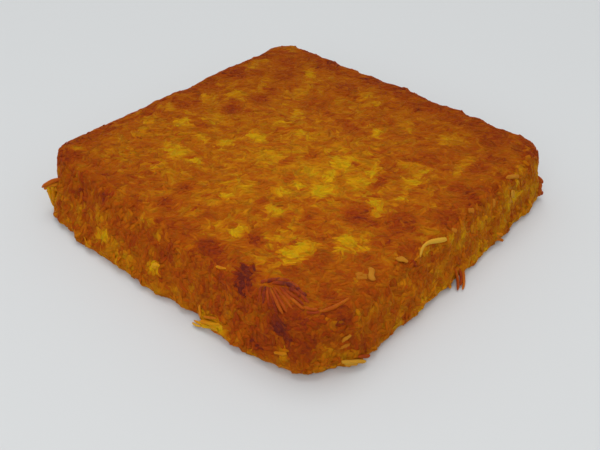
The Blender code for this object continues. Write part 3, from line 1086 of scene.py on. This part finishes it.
GOLDEN_STRANDS = (
    # The torn tuft of the left corner
    (((-74, -86.4, 18.6), (-79.2, -91.1, 17), (-83.5, -95.1, 13.2)), 2.6, 2, 0.62, 0),
    (((-74.6, -87, 15.8), (-79.4, -91.4, 15.1), (-82.8, -94.4, 12.6)), 2.8, 2.2, 0.42, 0),
    (((-75.4, -87.8, 12.6), (-79.1, -91.2, 12.6), (-81.9, -93.8, 11.2)), 2.8, 2.2, 0.3, 0),
    (((-80.8, -92.7, 15.4), (-80.7, -92.8, 10.4), (-80.6, -92.8, 5.6)), 3, 2.4, 0.12, 0),
    (((-78.8, -91.1, 16), (-79.3, -91.6, 10.4), (-79.8, -92, 5)), 3.2, 2.8, 0.24, 0),
    (((-80.4, -92.4, 9), (-80.6, -92.6, 5.1), (-80.2, -92.4, 1.6)), 2.6, 2.2, 0.16, 0),
    (((-78.6, -90.7, 8.8), (-79, -91.3, 4.6), (-78.8, -91.3, 1.2)), 2.8, 2.4, 0.5, 0),
    # The fringe of thin strands at the left foot
    (((46.4, -94.3, 4.6), (41.2, -95.4, 3.4), (36.6, -96, 2.4), (33.3, -96.4, 2)), 1.9, 1.2, 0.16, 0),
    (((50.8, -93.4, 5.4), (45.3, -94.4, 4.2), (40.1, -95.8, 2.8), (37.4, -96.4, 2)), 2, 1.3, 0.04, 0),
    (((47.6, -93.2, 7), (41.8, -94.7, 5.4), (36.6, -95.9, 3.6)), 1.8, 1.2, 0.2, 0),
    (((52.9, -92.6, 7.2), (46.6, -93.6, 6), (41.3, -95.1, 4.4)), 2, 1.3, 0.08, 0),
    (((35, -93.5, 10.4), (35.6, -94.2, 8), (37, -95, 5.8)), 1.3, 1, 0.28, 0),
    (((45.3, -93.4, 9.4), (41.7, -94.2, 8), (38, -94.6, 6.4)), 1.4, 1, 0.44, -0.1),
    (((54, -92.3, 4.6), (49.5, -93.8, 3.4), (46.4, -94.8, 2.2)), 1.5, 1.2, 0.34, 0),
    (((55.4, -91.8, 3.4), (52.6, -92.8, 3.6), (50.1, -93.4, 4.6)), 1.4, 1.1, 0.16, 0),
    # The small golden lump on the left side
    (((2.6, -92.9, 12.9), (5.4, -92.9, 14.3), (8, -92.6, 15.4)), 1.7, 0.8, 0.1, -0.3),
    (((1.8, -93.3, 11.8), (4, -93.4, 12.5), (6.2, -93.2, 13.5)), 1.6, 0.8, 0.16, -0.3),
    (((37.6, -85.2, 28.2), (39.8, -84.6, 28.5), (42.4, -83.8, 28.8)), 1.2, 0.8, 0.28, -0.15),
    # A grain on the near corner's foot
    (((75.4, -90.6, 9.4), (78, -89.4, 10.2), (80.4, -88.4, 10.8)), 1.6, 0.9, 0.28, -0.15),
    # Ragged bits at the right foot
    (((98.6, 34.6, 6.4), (100.2, 36.2, 5.4), (101.4, 37.6, 4.2)), 1.8, 1.3, 0.44, 0),
    (((99.4, 35.6, 7), (101.2, 37.4, 6.2), (102.6, 38.8, 5.2)), 1.6, 1.2, 0.32, 0),
    (((99.4, 36, 3.4), (101.4, 37.6, 2.9), (103.2, 39.2, 2.3)), 1.7, 1.3, 0.46, 0),
)


def strand_blank():
    """The blank of a long strand, with blunt ends and rings enough to bend."""
    strand = start_blank(segments=8, rings=12)
    for side in (-1.0, 1.0):
        select_vertices(strand, lambda co: 0.30 < co.x * side < 0.49)
        bpy.ops.transform.resize(value=(1.0, 1.35, 1.30), center_override=(0.45 * side, 0.0, 0.0))
        select_vertices(strand, lambda co: 0.2 < co.x * side < 0.3)
        bpy.ops.transform.resize(value=(1.0, 1.08, 1.08), center_override=(0.25 * side, 0.0, 0.0))
    return Blank(strand)


def curve_through(points, steps):
    """Places along a smooth curve through the points, at steps from 0 to 1."""
    reach = np.concatenate(([0.0], np.cumsum(np.linalg.norm(np.diff(points, axis=0), axis=1))))
    reach /= reach[-1]
    power = min(len(points) - 1, 3)
    curves = [np.polyfit(reach, points[:, axis], power) for axis in range(3)]
    return np.stack([np.polyval(curve, steps) for curve in curves], 1)


def lay_strands(name, strands, blank, surface, rng):
    """One joined mesh of strands laid along their own curves."""
    bunch = Bunch(len(strands))
    steps = blank.corners[:, 0] + 0.5
    for index, strand in enumerate(strands):
        spots = curve_through(strand.points, steps)
        before, after = (curve_through(strand.points, steps + shift) for shift in (-0.02, 0.02))
        ahead = unit(after - before)
        normal = np.array(surface.nearest(Vector(strand.points.mean(0)))[1])
        beside = unit(np.cross(np.tile(normal, (len(steps), 1)), ahead))
        above = np.cross(ahead, beside)
        wobble = 1.0 + 0.14 * np.sin(steps * rng.uniform(5.0, 9.0) + rng.uniform(0.0, 6.0))
        sway = 0.07 * np.sin(steps * rng.uniform(6.0, 11.0) + rng.uniform(0.0, 6.0))
        across_strand = (blank.corners[:, 1] * wobble + sway) * strand.width
        spots = spots + beside * across_strand[:, None]
        spots = spots + above * (blank.corners[:, 2] * strand.thickness + strand.rise)[:, None]
        toast = strand.toast + 0.05 * np.sin(steps * 7.0 + index)
        bunch.add(blank, spots, toast, rng.uniform(0.45, 0.8))
    return bunch.piece(name)


class TAHDIG_OT_strands(Operator):
    """Add the strands that stand out: pale, toasted and golden ones"""

    bl_idname = "tahdig.strands"
    bl_label = "Loose Strands"

    def execute(self, context):
        _, browning, rng, surface, _ = grain_tools(context, 3)
        blank = strand_blank()
        toasted = rice_material(
            "Strand Rice", browning, shade_depth=0.3, darken=1.0, bump=0.4, gloss=0.08,
        )
        pale = rice_material(
            "Pale Rice", browning, shade_depth=0.2, darken=1.0, bump=0.3, kind="Pale",
        )
        for name, rows, material in (
            ("pale_strands", PALE_STRANDS, pale),
            ("toasted_strands", TOASTED_STRANDS, toasted),
            ("golden_strands", GOLDEN_STRANDS, toasted),
        ):
            strands = [Strand(*row) for row in rows]
            finish_piece(lay_strands(name, strands, blank, surface, rng), material)
        return {"FINISHED"}


# ---------------- the stage


def floor_material(colour):
    """Plain matt floor."""
    material = bpy.data.materials.new("Pale Floor")
    material.use_nodes = True
    shader = material.node_tree.nodes["Principled BSDF"]
    set_inputs(shader, {"Base Color": (*colour, 1.0), "Roughness": 0.7, "Specular IOR Level": 0.2})
    return material


def point_at(item, target):
    """Turn a light or camera so that it looks at a point."""
    item.rotation_euler = (Vector(target) - item.location).to_track_quat("-Z", "Y").to_euler()


# The key light shines from over the far corner, the fill light from behind and left of the camera
KEY_PLACE, KEY_ANGLE = (-0.30, 0.35, 1.30), math.radians(44.0)
FILL_PLACE, FILL_SIZE = (0.52, -0.98, 0.88), 1.0


class TAHDIG_OT_stage(Operator):
    """Add the floor, the soft lights and the camera"""

    bl_idname = "tahdig.stage"
    bl_label = "Stage"

    def execute(self, context):
        settings = context.scene.tahdig_stage
        scene = context.scene
        deselect_all()
        bpy.ops.mesh.primitive_plane_add(size=20.0, location=(0.0, 0.0, 0.0))
        floor = bpy.context.object
        floor.name = "floor"
        floor.data.materials.append(floor_material(settings.floor))

        key = bpy.data.lights.new("key_light", "SUN")
        key.angle = KEY_ANGLE
        key.energy = settings.key_power
        fill = bpy.data.lights.new("fill_light", "AREA")
        fill.size = FILL_SIZE
        fill.energy = settings.fill_power
        for lamp, place in ((key, KEY_PLACE), (fill, FILL_PLACE)):
            holder = bpy.data.objects.new(lamp.name, lamp)
            scene.collection.objects.link(holder)
            holder.location = place
            point_at(holder, (0.0, 0.0, 0.0))

        world = bpy.data.worlds.new("studio")
        world.use_nodes = True
        sky = world.node_tree.nodes["Background"]
        set_inputs(sky, {"Color": (0.96, 0.98, 1.0, 1.0), "Strength": settings.sky})
        scene.world = world
        scene.view_settings.view_transform = "Standard"

        camera = bpy.data.objects.new("camera", bpy.data.cameras.new("camera"))
        scene.collection.objects.link(camera)
        aim = Vector(settings.aim)
        level = math.cos(settings.elevation)
        back = Vector((
            math.sin(settings.azimuth) * level,
            -math.cos(settings.azimuth) * level,
            math.sin(settings.elevation),
        ))
        camera.location = aim + back * settings.distance
        point_at(camera, aim)
        camera.data.lens = settings.lens
        camera.data.sensor_width = 36.0
        camera.data.clip_start = 0.01
        scene.camera = camera
        return {"FINISHED"}


# ---------------- panel and registration


OPERATORS = (
    TAHDIG_OT_core,
    TAHDIG_OT_crust,
    TAHDIG_OT_sides,
    TAHDIG_OT_underside,
    TAHDIG_OT_strands,
    TAHDIG_OT_stage,
)
SETTINGS = {
    "tahdig_grains": TAHDIG_PG_grains,
    "tahdig_core": TAHDIG_PG_core,
    "tahdig_browning": TAHDIG_PG_browning,
    "tahdig_stage": TAHDIG_PG_stage,
}


class TAHDIG_PT_panel(Panel):
    """Lists the settings and the steps that build the slab"""

    bl_idname = "TAHDIG_PT_panel"
    bl_label = "Tahdig"
    bl_space_type = "VIEW_3D"
    bl_region_type = "UI"
    bl_category = "Tahdig"

    def draw(self, context):
        column = self.layout.column()
        for operator in OPERATORS:
            column.operator(operator.bl_idname)
        for name, group in SETTINGS.items():
            box = self.layout.box()
            for prop in group.__annotations__:
                box.prop(getattr(context.scene, name), prop)


def register():
    """Register the settings, the operators and the panel."""
    for name, group in SETTINGS.items():
        bpy.utils.register_class(group)
        setattr(bpy.types.Scene, name, PointerProperty(type=group))
    for operator in OPERATORS:
        bpy.utils.register_class(operator)
    bpy.utils.register_class(TAHDIG_PT_panel)


def unregister():
    """Undo register."""
    bpy.utils.unregister_class(TAHDIG_PT_panel)
    for operator in reversed(OPERATORS):
        bpy.utils.unregister_class(operator)
    for name, group in reversed(SETTINGS.items()):
        delattr(bpy.types.Scene, name)
        bpy.utils.unregister_class(group)


def main():
    """Build the slab and its stage."""
    register()
    bpy.ops.tahdig.core()
    bpy.ops.tahdig.crust()
    bpy.ops.tahdig.sides()
    bpy.ops.tahdig.underside()
    bpy.ops.tahdig.strands()
    bpy.ops.tahdig.stage()


if __name__ == "__main__":
    main()
